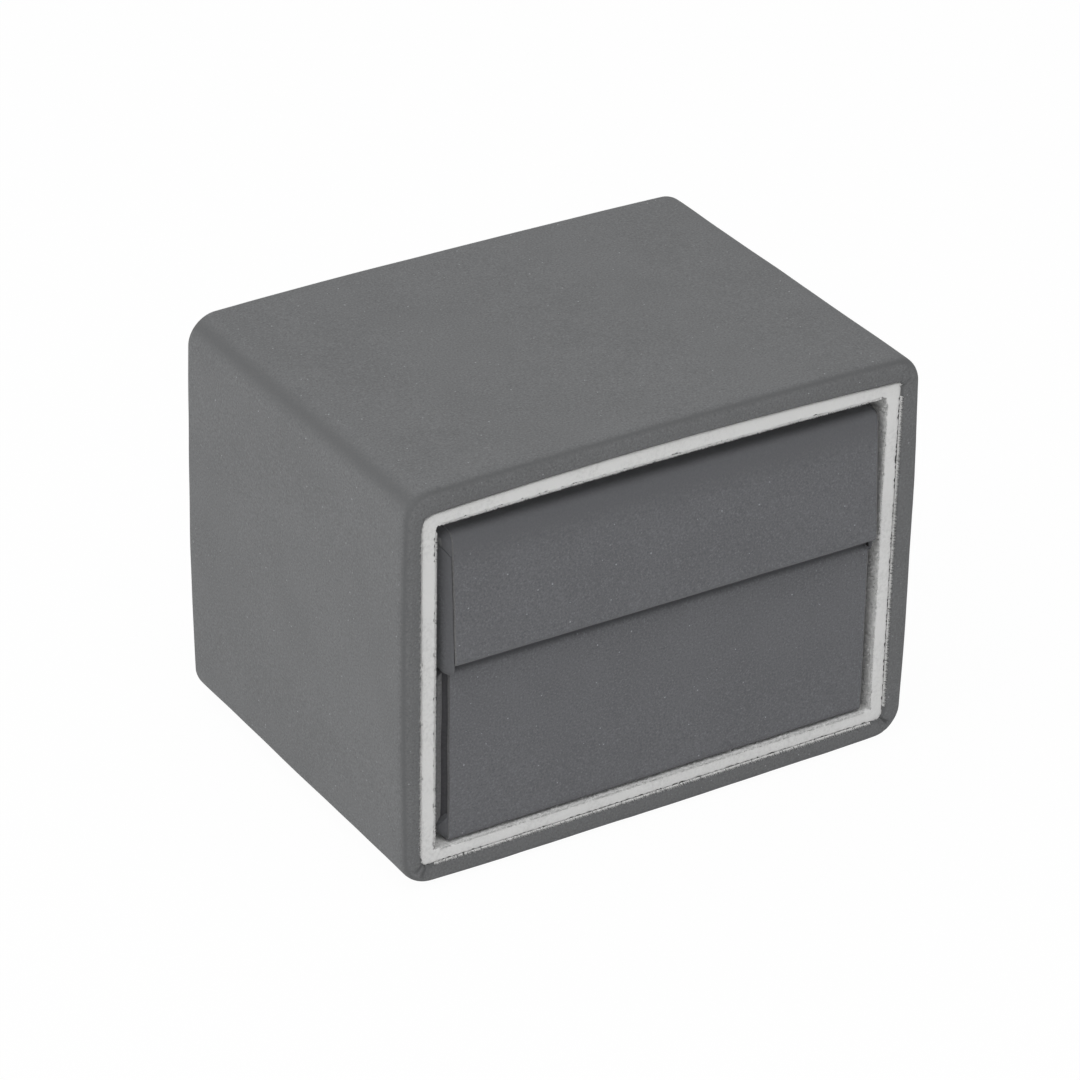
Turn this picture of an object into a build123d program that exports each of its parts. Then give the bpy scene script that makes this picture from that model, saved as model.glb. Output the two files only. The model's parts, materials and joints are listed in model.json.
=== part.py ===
"""Ring box that slides like a drawer out of a plush-lined, nubuck-covered sleeve.

Millimetres. X is the width, +Y runs from the open front to the back, +Z is up. The origin is the
middle of the footprint on the surface that the box rests on.
"""

from build123d import *

import os

# ---------------------------------------------------------------- driving dimensions

# Sleeve, outside
sleeve_width = 80.0  # over the swell of the padded sides
sleeve_depth = 57.9
sleeve_height = 59.5  # over the swell of the padded top
face_swell = 0.45  # padding lifts the middle of a face above its corners
corner_radius = 4.1  # long edges of the sleeve
underside_flat = 46.0  # width of the flat part of the underside
nose_radius = 1.4  # outer front edge
nose_inner_radius = 0.3  # edge of the opening

# Sleeve, walls
wrap_thickness = 0.5
nose_depth = 1.3  # padding in front of the boards
turn_in_thickness = 0.3
turn_in_length = 12.0
back_board_thickness = 1.5
sheet_border = 4.0  # wrap left round the sheets of the underside and the back
sheet_gap = 0.1
rest_proud = 0.15  # the bottom sheet stands below the wrap

# Plush lining
side_wall = 3.4  # wrap, board and turned-in wrap, outside the lining cards
floor_wall = 3.5
roof_wall = 3.55  # at the corners, where the padding doesn't swell
lining_top_swell = 0.4
lining_corner = 2.0
side_plush = 2.0
floor_plush = 2.4
roof_plush = 1.7
back_plush = 2.0

# Ring box in the sleeve
side_slack = 1.0
floor_slack = 0.2
roof_slack = 1.8
back_slack = 1.0  # lets the lid lift inside the sleeve
split_height = 32.05  # middle of the gap between lid and box
split_gap = 0.2
lid_front_proud = 0.9  # lower edge of the lid, in front of the sleeve
lid_front_lean = 1.3  # upper edge of the lid lies this much further back
box_front_recess = 0.9  # upper edge of the box, behind the sleeve's front
box_front_lean = 0.15  # lower edge of the box comes forward by this

# Ring box, skins and shells
cover_thickness = 0.6
cover_inset = 1.2  # edge of the front cover, in from the flank
flank_thickness = 0.6
flank_start = 1.5  # front edge of the box's flank sheets, behind its front
flank_joint = 0.1
upright_radius = 2.5
rim_radius = 1.3
fold_radius = 1.6
shell_wall = 2.0
lid_mitre_start = 3.7  # mitre on the front, from the fold: where it leaves the cover's edge
lid_mitre_end = 1.8  # and where it meets the flank
box_mitre_start = 3.3
box_mitre_end = 1.2
mitre_wrap = 3.0  # how far the mitred corner reaches round onto the flank

# Inside the ring box
lining_skin = 0.4
lining_start = 3.5  # lower edge of the lid's lining, above the rim
frame_wall = 0.8
frame_slack = 0.45
frame_rise = 1.5  # above the box's rim
card_thickness = 1.0
pad_slack = 0.3
ring_slot = 0.8
pad_drop = 2.2  # top of the ring pads, below the box's rim
pad_crown = 4.0
lid_pad_margin = 3.4  # between the pad and the lid's lining
lid_pad_edge = 1.6
lid_pad_crown = 2.4

# Hinge
knuckle_radius = 1.1
pin_radius = 0.6
pin_clearance = 0.05
knuckle_count = 5
knuckle_gap = 0.2
hinge_length = 40.0
leaf_thickness = 0.5
leaf_height = 8.0
groove_clearance = 0.35
spring_width = 14.0
spring_thickness = 0.25
spring_reach = 4.6
spring_bow = 1.2
spring_seat = 0.27
window_margin = 1.0

past = 1.0  # cuts run this far past the faces that they open

# ---------------------------------------------------------------- places

front = -(sleeve_depth + lid_front_proud) / 2 + lid_front_proud  # frontmost plane of the sleeve
back = front + sleeve_depth
board_front = front + nose_depth
board_back = back - wrap_thickness
side_board_back = board_back - back_board_thickness
plush_back_front = side_board_back - back_plush

lining_half_width = sleeve_width / 2 - side_wall
lining_bottom = floor_wall
lining_top = sleeve_height - face_swell - roof_wall
cavity_bottom = lining_bottom + floor_plush
cavity_top = lining_top - roof_plush
board_half_width = lining_half_width + turn_in_thickness
board_bottom = lining_bottom - turn_in_thickness
board_top = lining_top + turn_in_thickness

box_half_width = lining_half_width - side_plush - side_slack
box_bottom = cavity_bottom + floor_slack
box_top = cavity_top - roof_slack
box_back = plush_back_front - back_slack
box_rim = split_height - split_gap / 2
lid_rim = split_height + split_gap / 2

hinge_y = box_back - knuckle_radius
hinge_z = split_height
groove_radius = knuckle_radius + groove_clearance

os.makedirs("parts", exist_ok=True)


def write(piece, name):
    """Label a finished piece and write it under its own name."""
    piece.part.label = name
    export_step(piece.part, f"parts/{name}.step")


def at_y(y):
    """Upright plane across the box, facing the front."""
    return Plane.XZ.offset(-y)


def between(x_range, y_range, z_range):
    """Plain region of space, given by its sides, used to divide and cut."""
    with BuildPart() as region:
        with BuildSketch(Plane.XY.offset(min(z_range))):
            with Locations(((x_range[0] + x_range[1]) / 2, (y_range[0] + y_range[1]) / 2)):
                Rectangle(abs(x_range[1] - x_range[0]), abs(y_range[1] - y_range[0]))
        extrude(amount=abs(z_range[1] - z_range[0]))
    return region.part


# ---------------------------------------------------------------- sleeve


def padded_outline(inset, y):
    """Cross-section of the sleeve: swollen faces, round corners and a flat under the middle."""
    edge_x = sleeve_width / 2 - face_swell - inset
    middle_x = sleeve_width / 2 - inset
    low = rest_proud + inset
    low_corner = low + face_swell
    high = sleeve_height - inset
    high_corner = high - face_swell
    middle_z = (low_corner + high_corner) / 2
    flat = underside_flat / 2
    with BuildSketch(at_y(y)) as outline:
        with BuildLine():
            underside = Line((-flat, low), (flat, low))
            TangentArc(underside @ 1, (edge_x, low_corner), tangent=underside % 1)
            ThreePointArc((edge_x, low_corner), (middle_x, middle_z), (edge_x, high_corner))
            ThreePointArc((edge_x, high_corner), (0, high), (-edge_x, high_corner))
            ThreePointArc((-edge_x, high_corner), (-middle_x, middle_z), (-edge_x, low_corner))
            TangentArc(underside @ 0, (-edge_x, low_corner), tangent=(underside % 0) * -1)
        make_face()
        corners = outline.vertices().filter_by(lambda v: abs(v.X) > (flat + edge_x) / 2)
        fillet(corners, corner_radius - inset)
    return outline.sketch


def lining_outline(grow, y):
    """Outside of the lining cards: a rectangle whose top edge swells, grown by the turned-in wrap."""
    half = lining_half_width + grow
    low = lining_bottom - grow
    high = lining_top + grow
    with BuildSketch(at_y(y)) as outline:
        with BuildLine():
            Polyline((-half, high), (-half, low), (half, low), (half, high))
            ThreePointArc((half, high), (0, high + lining_top_swell), (-half, high))
        make_face()
        fillet(outline.vertices(), lining_corner + grow)
    return outline.sketch


wrap_outside = padded_outline(0, front)
wrap_inside = padded_outline(wrap_thickness, board_front)
mouth = lining_outline(0, front)
turned_in = lining_outline(turn_in_thickness, board_front) - lining_outline(0, board_front)

with BuildPart() as sleeve_wrap:
    extrude(wrap_outside, amount=-sleeve_depth)
    nose_edges = sleeve_wrap.faces().sort_by(Axis.Y)[0].outer_wire().edges()
    fillet(nose_edges, nose_radius)
    extrude(wrap_inside, amount=-(board_back - board_front), mode=Mode.SUBTRACT)
    extrude(mouth, amount=-nose_depth, mode=Mode.SUBTRACT)
    mouth_edges = sleeve_wrap.faces().sort_by(Axis.Y)[0].inner_wires()[0].edges()
    fillet(mouth_edges, nose_inner_radius)
    extrude(turned_in, amount=-(turn_in_length - nose_depth))
    # window of the back
    with BuildSketch(at_y(board_back)):
        with Locations((0, sleeve_height / 2)):
            Rectangle(sleeve_width - 2 * sheet_border, sleeve_height - 2 * sheet_border)
    extrude(amount=-wrap_thickness, mode=Mode.SUBTRACT)
    # window of the underside
    with BuildSketch(Plane.XY):
        with Locations((0, (front + back) / 2)):
            Rectangle(underside_flat, sleeve_depth - 2 * sheet_border)
    extrude(amount=rest_proud + wrap_thickness, mode=Mode.SUBTRACT)
write(sleeve_wrap, "sleeve_wrap")

with BuildPart() as sleeve_bottom_sheet:
    with BuildSketch(Plane.XY):
        with Locations((0, (front + back) / 2)):
            Rectangle(
                underside_flat - 2 * sheet_gap, sleeve_depth - 2 * sheet_border - 2 * sheet_gap
            )
    extrude(amount=rest_proud + wrap_thickness)
write(sleeve_bottom_sheet, "sleeve_bottom_sheet")

with BuildPart() as sleeve_back_sheet:
    with BuildSketch(at_y(board_back)):
        with Locations((0, sleeve_height / 2)):
            Rectangle(
                sleeve_width - 2 * sheet_border - 2 * sheet_gap,
                sleeve_height - 2 * sheet_border - 2 * sheet_gap,
            )
    extrude(amount=-wrap_thickness)
write(sleeve_back_sheet, "sleeve_back_sheet")

# The boards butt at the corners: the top and the bottom run the full width, the sides stand between.
outer_half_width = sleeve_width / 2
board_bands = {
    "sleeve_top_board": (-outer_half_width, outer_half_width, board_top, sleeve_height),
    "sleeve_bottom_board": (-outer_half_width, outer_half_width, 0, board_bottom),
    "sleeve_left_board": (-outer_half_width, -board_half_width, board_bottom, board_top),
    "sleeve_right_board": (board_half_width, outer_half_width, board_bottom, board_top),
}
board_ring = padded_outline(wrap_thickness, board_front) - lining_outline(turn_in_thickness, board_front)
for name, (left, right, low, high) in board_bands.items():
    band = between((left, right), (board_front, side_board_back), (low, high))
    ring = extrude(board_ring, amount=-(side_board_back - board_front))
    with BuildPart() as board:
        add(band)
        add(ring, mode=Mode.INTERSECT)
    write(board, name)

back_section = padded_outline(wrap_thickness, side_board_back)
with BuildPart() as sleeve_back_board:
    extrude(back_section, amount=-back_board_thickness)
write(sleeve_back_board, "sleeve_back_board")

# The lining cards butt too: the roof and the floor run the full width.
cavity_half_width = lining_half_width - side_plush
lining_bands = {
    "plush_top": (-lining_half_width, lining_half_width, cavity_top, sleeve_height),
    "plush_bottom": (-lining_half_width, lining_half_width, 0, cavity_bottom),
    "plush_left": (-lining_half_width, -cavity_half_width, cavity_bottom, cavity_top),
    "plush_right": (cavity_half_width, lining_half_width, cavity_bottom, cavity_top),
}
lining_block = extrude(lining_outline(0, board_front), amount=-(plush_back_front - board_front))
for name, (left, right, low, high) in lining_bands.items():
    band = between((left, right), (board_front, plush_back_front), (low, high))
    with BuildPart() as card:
        add(band)
        add(lining_block, mode=Mode.INTERSECT)
    write(card, name)

back_section = lining_outline(0, plush_back_front)
with BuildPart() as plush_back:
    extrude(back_section, amount=-back_plush)
write(plush_back, "plush_back")

# ---------------------------------------------------------------- ring box and lid, shared forms
#
# The lid and the lower box are the same tray, one turned over. "rim" is the open side where they
# meet, "fold" is the closed side.


class Half:
    """Outside of one half of the ring box, measured over its cover sheet."""

    def __init__(self, rim_z, fold_z, front_rim, front_fold, mitre_start, mitre_end):
        self.rim_z = rim_z
        self.fold_z = fold_z
        self.front_rim = front_rim
        self.front_fold = front_fold
        self.up = 1 if fold_z > rim_z else -1  # from the rim to the fold
        self.mitre_start = fold_z - self.up * mitre_start
        self.mitre_end = fold_z - self.up * mitre_end


lid = Half(
    rim_z=lid_rim,
    fold_z=box_top,
    front_rim=front - lid_front_proud,
    front_fold=front - lid_front_proud + lid_front_lean,
    mitre_start=lid_mitre_start,
    mitre_end=lid_mitre_end,
)
box = Half(
    rim_z=box_rim,
    fold_z=box_bottom,
    front_rim=front + box_front_recess,
    front_fold=front + box_front_recess - box_front_lean,
    mitre_start=box_mitre_start,
    mitre_end=box_mitre_end,
)
cover_half_width = box_half_width - cover_inset
shell_half_width = box_half_width - flank_thickness
inner_half_width = shell_half_width - shell_wall
inner_back = box_back - cover_thickness - shell_wall


def tray_outline(half, inset, rounded):
    """Side view of a half with a leaning front, drawn in by the inset on all four sides."""
    rim_z = half.rim_z + half.up * inset
    fold_z = half.fold_z - half.up * inset
    with BuildSketch(Plane.YZ) as outline:
        with BuildLine():
            Polyline(
                (half.front_rim + inset, rim_z),
                (half.front_fold + inset, fold_z),
                (box_back - inset, fold_z),
                (box_back - inset, rim_z),
                close=True,
            )
        make_face()
        if rounded:
            corners = outline.vertices().sort_by(Axis.Y)
            low, high = (rim_radius, fold_radius) if half.up > 0 else (fold_radius, rim_radius)
            fillet(corners[:2], low)
            fillet(outline.vertices().sort_by(Axis.Y)[-2:], high)
    return outline.sketch


def tray_block(half, inset, half_width, rounded):
    """Solid of a half with round uprights; its rim and fold are rounded too, where it says so."""
    outline = tray_outline(half, inset, rounded=False)
    with BuildPart() as block:
        extrude(outline, amount=half_width, both=True)
        uprights = block.edges().filter_by(Axis.X, reverse=True).filter_by(Axis.Y, reverse=True)
        fillet(uprights, upright_radius - inset)
        if rounded:
            low, high = (rim_radius, fold_radius) if half.up > 0 else (fold_radius, rim_radius)
            fillet(block.faces().filter_by(Axis.Z).sort_by(Axis.Z)[0].edges(), low)
            fillet(block.faces().filter_by(Axis.Z).sort_by(Axis.Z)[-1].edges(), high)
    return block.part


# Round groove along both rear rims, which lets the lid swing past the box
with BuildPart() as groove:
    with BuildSketch(Plane.YZ.offset(-box_half_width - past)):
        with Locations((hinge_y, hinge_z)):
            Circle(groove_radius)
    extrude(amount=2 * (box_half_width + past))
hinge_groove = groove.part


def mitred_ends(half, side, joint):
    """Space on one flank that belongs to the cover: its mitred corners and the fold's edge."""
    start = cover_half_width - joint
    lap = start - flank_thickness / 2  # reaches in, so that the corner grows out of the cover
    beyond = box_half_width + past
    rise = (half.mitre_end - half.mitre_start) / cover_inset
    top = half.fold_z + half.up * past + half.mitre_end - half.mitre_start
    mitre = [
        (side * lap, half.mitre_start - half.up * joint),
        (side * cover_half_width, half.mitre_start - half.up * joint),
        (side * beyond, half.mitre_start - half.up * joint + rise * (beyond - cover_half_width)),
        (side * beyond, top),
        (side * lap, top),
    ]
    reach = mitre_wrap + joint
    with BuildPart() as ends:
        for start, end in ((front - past, front + reach), (box_back - reach, box_back + past)):
            with BuildSketch(at_y(start)):
                with BuildLine():
                    Polyline(*mitre, close=True)
                make_face()
            extrude(amount=start - end)
    edge = between(
        (side * lap, side * beyond),
        (front - past, box_back + past),
        (half.fold_z - half.up * (cover_thickness + joint), half.fold_z + half.up * past),
    )
    return ends.part + edge


def skin(half):
    """Everything between the rounded shell and the outside, before it is divided into sheets."""
    outside = tray_block(half, 0, box_half_width, rounded=True)
    return outside - tray_block(half, cover_thickness, shell_half_width, rounded=False)


def cover_sheet(half):
    """Sheet over front, fold and back, with mitred corners and edges turned under the rim."""
    turned = cover_thickness + shell_wall
    band = tray_outline(half, 0, rounded=True) - tray_outline(half, cover_thickness, rounded=False)
    mouth = between(
        (-box_half_width, box_half_width),
        (half.front_rim + turned, box_back - cover_thickness),
        (half.rim_z - half.up * past, half.rim_z + half.up * turned),
    )
    ends = [skins[half] & mitred_ends(half, side, 0) for side in (-1, 1)]
    with BuildPart() as cover:
        extrude(band, amount=cover_half_width, both=True)
        add(ends)
        add(mouth, mode=Mode.SUBTRACT)
        add(hinge_groove, mode=Mode.SUBTRACT)
    return cover


def flank_sheet(half, side, start):
    """Sheet on one flank, turned under the rim; start is its distance from the front cover's face."""
    first = cover_half_width + flank_joint
    beyond = box_half_width + past
    outside = between(
        (side * first, side * beyond),
        (half.front_rim + start, box_back - start),
        (half.rim_z - half.up * past, half.fold_z + half.up * past),
    )
    rim_lip = between(
        (side * inner_half_width, side * beyond),
        (half.front_rim + cover_thickness + shell_wall + lid_front_lean, inner_back - flank_joint),
        (half.rim_z, half.rim_z + half.up * cover_thickness),
    )
    sheet = skins[half] & (outside + rim_lip)
    cover_ends = mitred_ends(half, side, flank_joint)
    with BuildPart() as flank:
        add(sheet)
        add(cover_ends, mode=Mode.SUBTRACT)
        add(hinge_groove, mode=Mode.SUBTRACT)
    return flank


def tray_shell(half):
    """Rigid tray with a leaf recess in its back, a spring window and the hinge groove."""
    leaf_end = hinge_z + half.up * (groove_radius + leaf_height)
    window = spring_width / 2 + window_margin
    inner_front = max(half.front_rim, half.front_fold) + cover_thickness + shell_wall
    floor = half.fold_z - half.up * (cover_thickness + shell_wall)
    leaf_front = box_back - cover_thickness - leaf_thickness
    leaf_half = hinge_length / 2 + pin_clearance
    window_end = hinge_z + half.up * (spring_reach + window_margin)
    block = tray_block(half, cover_thickness, shell_half_width, rounded=False)
    hollow = between(
        (-inner_half_width, inner_half_width),
        (inner_front, inner_back),
        (half.rim_z - half.up * past, floor),
    )
    recess = between((-leaf_half, leaf_half), (leaf_front, box_back), (hinge_z, leaf_end))
    spring_window = between((-window, window), (inner_back - past, box_back), (hinge_z, window_end))
    with BuildPart() as shell:
        add(block)
        for opening in (hollow, hinge_groove, recess, spring_window):
            add(opening, mode=Mode.SUBTRACT)
    return shell


def hinge_leaf(half, first_knuckle):
    """Pressed hinge leaf: a plate on the outside of the shell's back with every other knuckle."""
    leaf_back = box_back - cover_thickness
    plate_start = hinge_z + half.up * groove_radius
    plate_end = plate_start + half.up * leaf_height
    pitch = (hinge_length + knuckle_gap) / knuckle_count
    starts = [-hinge_length / 2 + i * pitch for i in range(first_knuckle, knuckle_count, 2)]
    plate_y = (leaf_back - leaf_thickness, leaf_back)
    straps = [between((-hinge_length / 2, hinge_length / 2), plate_y, (plate_start, plate_end))]
    straps += [between((x, x + pitch - knuckle_gap), plate_y, (hinge_z, plate_start)) for x in starts]
    with BuildPart() as leaf:
        add(straps)
        for start in starts:
            with BuildSketch(Plane.YZ.offset(start)):
                with Locations((hinge_y, hinge_z)):
                    Circle(knuckle_radius)
            extrude(amount=pitch - knuckle_gap)
        with BuildSketch(Plane.YZ.offset(-hinge_length / 2)):
            with Locations((hinge_y, hinge_z)):
                Circle(pin_radius + pin_clearance)
        extrude(amount=hinge_length, mode=Mode.SUBTRACT)
    return leaf


skins = {lid: skin(lid), box: skin(box)}

write(tray_shell(lid), "lid_shell")
write(cover_sheet(lid), "lid_cover")
write(flank_sheet(lid, -1, 0), "lid_flank_left")
write(flank_sheet(lid, 1, 0), "lid_flank_right")
write(hinge_leaf(lid, first_knuckle=1), "lid_hinge_leaf")

write(tray_shell(box), "box_shell")
write(cover_sheet(box), "box_cover")
write(flank_sheet(box, -1, flank_start), "box_flank_left")
write(flank_sheet(box, 1, flank_start), "box_flank_right")
write(hinge_leaf(box, first_knuckle=0), "box_hinge_leaf")

# ---------------------------------------------------------------- hinge pin and spring

with BuildPart() as hinge_pin:
    with BuildSketch(Plane.YZ.offset(-hinge_length / 2)):
        with Locations((hinge_y, hinge_z)):
            Circle(pin_radius)
    extrude(amount=hinge_length)
    for end in hinge_pin.faces().filter_by(Axis.X):
        with BuildSketch(Plane.YZ.offset(end.center().X)):
            with Locations((hinge_y, hinge_z)):
                Circle((pin_radius + knuckle_radius) / 2)
        extrude(amount=pin_radius if end.center().X > 0 else -pin_radius)
write(hinge_pin, "hinge_pin")

with BuildPart() as hinge_spring:
    tip_y = box_back - cover_thickness - leaf_thickness - spring_seat - spring_thickness / 2
    with BuildSketch(Plane.YZ.offset(-spring_width / 2)):
        with BuildLine() as bow:
            ThreePointArc(
                (tip_y, hinge_z - spring_reach),
                (tip_y - spring_bow, hinge_z),
                (tip_y, hinge_z + spring_reach),
            )
        trace(line_width=spring_thickness)
    extrude(amount=spring_width)
write(hinge_spring, "hinge_spring")

# ---------------------------------------------------------------- inside the ring box

floor_top = box_bottom + cover_thickness + shell_wall
box_inner_front = box.front_rim + cover_thickness + shell_wall
frame_half_width = inner_half_width - frame_slack
frame_front = box_inner_front + frame_slack
frame_back = inner_back - frame_slack
frame_centre = (frame_front + frame_back) / 2
pad_bottom = floor_top + card_thickness
pad_top = box_rim - pad_drop

with BuildPart() as inner_frame:
    with BuildSketch(Plane.XY.offset(floor_top)):
        with Locations((0, frame_centre)):
            Rectangle(2 * frame_half_width, frame_back - frame_front)
            Rectangle(
                2 * (frame_half_width - frame_wall),
                frame_back - frame_front - 2 * frame_wall,
                mode=Mode.SUBTRACT,
            )
    extrude(amount=box_rim + frame_rise - floor_top)
write(inner_frame, "inner_frame")

pad_half_width = frame_half_width - frame_wall - pad_slack
pad_front = frame_front + frame_wall + pad_slack
pad_back = frame_back - frame_wall - pad_slack

with BuildPart() as pad_card:
    with BuildSketch(Plane.XY.offset(floor_top)):
        with Locations((0, frame_centre)):
            Rectangle(2 * pad_half_width, pad_back - pad_front)
    extrude(amount=card_thickness)
write(pad_card, "pad_card")

pad_side = pad_top - pad_crown
pad_spans = {
    "ring_pad_front": (pad_front, frame_centre - ring_slot / 2),
    "ring_pad_rear": (frame_centre + ring_slot / 2, pad_back),
}
for name, (start, end) in pad_spans.items():
    with BuildPart() as roll:
        with BuildSketch(Plane.YZ):
            with BuildLine():
                Polyline((start, pad_side), (start, pad_bottom), (end, pad_bottom), (end, pad_side))
                ThreePointArc((end, pad_side), ((start + end) / 2, pad_top), (start, pad_side))
            make_face()
        extrude(amount=pad_half_width, both=True)
    write(roll, name)

lid_inner_front = max(lid.front_rim, lid.front_fold) + cover_thickness + shell_wall
roof = box_top - cover_thickness - shell_wall

lining_rim = lid_rim + lining_start
lining_inside_half = inner_half_width - lining_skin
lining_outside = between(
    (-inner_half_width, inner_half_width), (lid_inner_front, inner_back), (lining_rim, roof)
)
lining_inside = between(
    (-lining_inside_half, lining_inside_half),
    (lid_inner_front + lining_skin, inner_back - lining_skin),
    (lining_rim, roof - lining_skin),
)
with BuildPart() as lid_lining:
    add(lining_outside)
    add(lining_inside, mode=Mode.SUBTRACT)
write(lid_lining, "lid_lining")

lid_centre = (lid_inner_front + inner_back) / 2
lid_pad_half_width = lining_inside_half - lid_pad_margin
lid_pad_depth = inner_back - lid_inner_front - 2 * (lining_skin + lid_pad_margin)
lid_pad_top = roof - lining_skin


def hanging_crown(half_width, plane, across):
    """Face of a pad that hangs from the roof: thin sides and a crown that bulges down."""
    side_z = lid_pad_top - lid_pad_edge
    left, right = across - half_width, across + half_width
    with BuildSketch(plane) as face:
        with BuildLine():
            Polyline((left, side_z), (left, lid_pad_top), (right, lid_pad_top), (right, side_z))
            ThreePointArc((right, side_z), (across, side_z - lid_pad_crown), (left, side_z))
        make_face()
    return face.sketch


pad_front_view = hanging_crown(lid_pad_half_width, at_y(lid_centre - lid_pad_depth / 2), 0)
pad_side_view = hanging_crown(lid_pad_depth / 2, Plane.YZ.offset(-lid_pad_half_width), lid_centre)
with BuildPart() as lid_pad:
    extrude(pad_front_view, amount=-lid_pad_depth)
    extrude(pad_side_view, amount=2 * lid_pad_half_width, mode=Mode.INTERSECT)
write(lid_pad, "lid_pad")
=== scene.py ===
"""Ring box with a hinged lid, sliding like a drawer in a plush-lined nubuck sleeve."""

import json
import math
import random

import bmesh
import bpy
from mathutils import Matrix, Vector, noise


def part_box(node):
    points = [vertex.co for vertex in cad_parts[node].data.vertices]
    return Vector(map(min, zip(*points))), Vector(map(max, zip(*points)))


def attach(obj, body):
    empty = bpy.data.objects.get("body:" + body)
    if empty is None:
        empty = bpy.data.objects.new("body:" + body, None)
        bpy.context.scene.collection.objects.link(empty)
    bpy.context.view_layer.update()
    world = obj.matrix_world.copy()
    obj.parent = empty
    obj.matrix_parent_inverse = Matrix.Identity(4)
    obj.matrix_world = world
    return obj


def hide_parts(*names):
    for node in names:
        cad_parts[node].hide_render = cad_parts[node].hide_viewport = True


bl_info = {
    "name": "Ring box with drawer",
    "version": (1, 0, 0),
    "blender": (4, 5, 0),
    "location": "3D View > Sidebar > Ring box",
    "description": "Nubuck sleeve with a plush lining and a ring box that slides out of it",
    "category": "Object",
}

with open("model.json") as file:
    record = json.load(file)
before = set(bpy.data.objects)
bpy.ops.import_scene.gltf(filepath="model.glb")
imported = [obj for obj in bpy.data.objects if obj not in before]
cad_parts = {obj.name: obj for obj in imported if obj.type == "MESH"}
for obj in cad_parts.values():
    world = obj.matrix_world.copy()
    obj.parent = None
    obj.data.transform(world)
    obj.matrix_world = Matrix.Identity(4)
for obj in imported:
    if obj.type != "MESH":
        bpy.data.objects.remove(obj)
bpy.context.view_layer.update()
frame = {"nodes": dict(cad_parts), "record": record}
MM = 0.001

# ---------------------------------------------------------------- places, in millimetres


def box_mm(node):
    """Lowest and highest corner of a CAD node, in millimetres."""
    low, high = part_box(node)
    return low / MM, high / MM


WRAP_LOW, WRAP_HIGH = box_mm("sleeve_wrap")
SWELL = 0.45  # padding lifts the middle of each face of the sleeve
FRONT = WRAP_LOW.y
BACK = WRAP_HIGH.y
EDGE_X = WRAP_HIGH.x - SWELL  # corners of the sleeve, without the swell
LOW_Z = WRAP_LOW.z + SWELL
HIGH_Z = WRAP_HIGH.z - SWELL
UNDERSIDE_FLAT = 23.0  # half the width of the flat underside
CORNER = 4.1  # radius of the sleeve's long edges
NOSE_RUN = 7.0  # the wrap curves in towards the mouth over this depth
MOUTH_WALL = 3.0  # wrap, board and turned-in wrap, from the outside to the mouth
LINING_X = box_mm("plush_top")[1].x  # outside of the lining cards
LINING_LOW = box_mm("plush_bottom")[0].z
LINING_HIGH = box_mm("plush_top")[1].z - 0.4
LINING_SWELL = 0.4
LINING_CORNER = 2.0
CAVITY_X = -box_mm("plush_left")[1].x
CAVITY_LOW, CAVITY_HIGH = box_mm("plush_left")[0].z, box_mm("plush_left")[1].z
CAVITY_BACK = box_mm("plush_back")[0].y
SHEET_END_X = 31.4  # where the right edges of the cover sheets begin
SHEET_SHIFT = 0.5  # the cover sheets are laid a little to the right
LID_EDGE_LIFT = 0.45  # the lid's front sheet is cut short of its rim
CORNER_DROP = 1.2  # the flanks' front corners hang below the split
SPLIT_Z = 32.05  # where the lid meets the box
FRONT_ZONE_Y = -22.0  # the ring box's front folds lie in front of this depth

# the photograph's camera, found from the sleeve's outline and the corners of its mouth
CAMERA_AZIMUTH, CAMERA_ELEVATION, CAMERA_ROLL = -32.073, 29.546, 1.001  # degrees
CAMERA_PLACE = (-303.967, -482.112, 351.127)
CAMERA_LENS, CAMERA_SENSOR = 160.956, 36.0


def linear(hex_colour):
    """sRGB hex colour as linear RGBA."""
    parts = [int(hex_colour[i : i + 2], 16) / 255 for i in (1, 3, 5)]
    return [p / 12.92 if p <= 0.04045 else ((p + 0.055) / 1.055) ** 2.4 for p in parts] + [1.0]


def shade(colour, share):
    """The same colour, darker for a share below 1 and lighter above."""
    return [share * part for part in colour[:3]] + [1.0]


# ---------------------------------------------------------------- materials


def new_material(name):
    """Empty node material with its Principled shader and that shader's place in the tree."""
    made = bpy.data.materials.new(name)
    made.use_nodes = True
    return made, made.node_tree, made.node_tree.nodes["Principled BSDF"]


def add_node(tree, kind, links=None, **settings):
    """Add a node. Settings named after an input set that socket, others set the node itself."""
    node = tree.nodes.new(kind)
    for key, value in settings.items():
        if key.startswith("in_"):
            slot = key[3:]
            slot = int(slot) if slot.isdigit() else slot.replace("_", " ")
            node.inputs[slot].default_value = value
        else:
            setattr(node, key, value)
    for slot, source in (links or {}).items():
        tree.links.new(source, node.inputs[slot])
    return node


def mix_colours(tree, factor, first, second):
    """Colour between two colours, each four linear parts or a socket."""
    mix = add_node(tree, "ShaderNodeMix", data_type="RGBA")
    for slot, value in ((6, first), (7, second)):
        if isinstance(value, bpy.types.NodeSocket):
            tree.links.new(value, mix.inputs[slot])
        else:
            mix.inputs[slot].default_value = value
    tree.links.new(factor, mix.inputs[0])
    return mix.outputs[2]


def ramp(tree, source, low, high):
    """Runs from 0 at low to 1 at high, smoothly."""
    node = add_node(
        tree,
        "ShaderNodeMapRange",
        {"Value": source},
        interpolation_type="SMOOTHSTEP",
        in_From_Min=low,
        in_From_Max=high,
    )
    return node.outputs["Result"]


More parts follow.
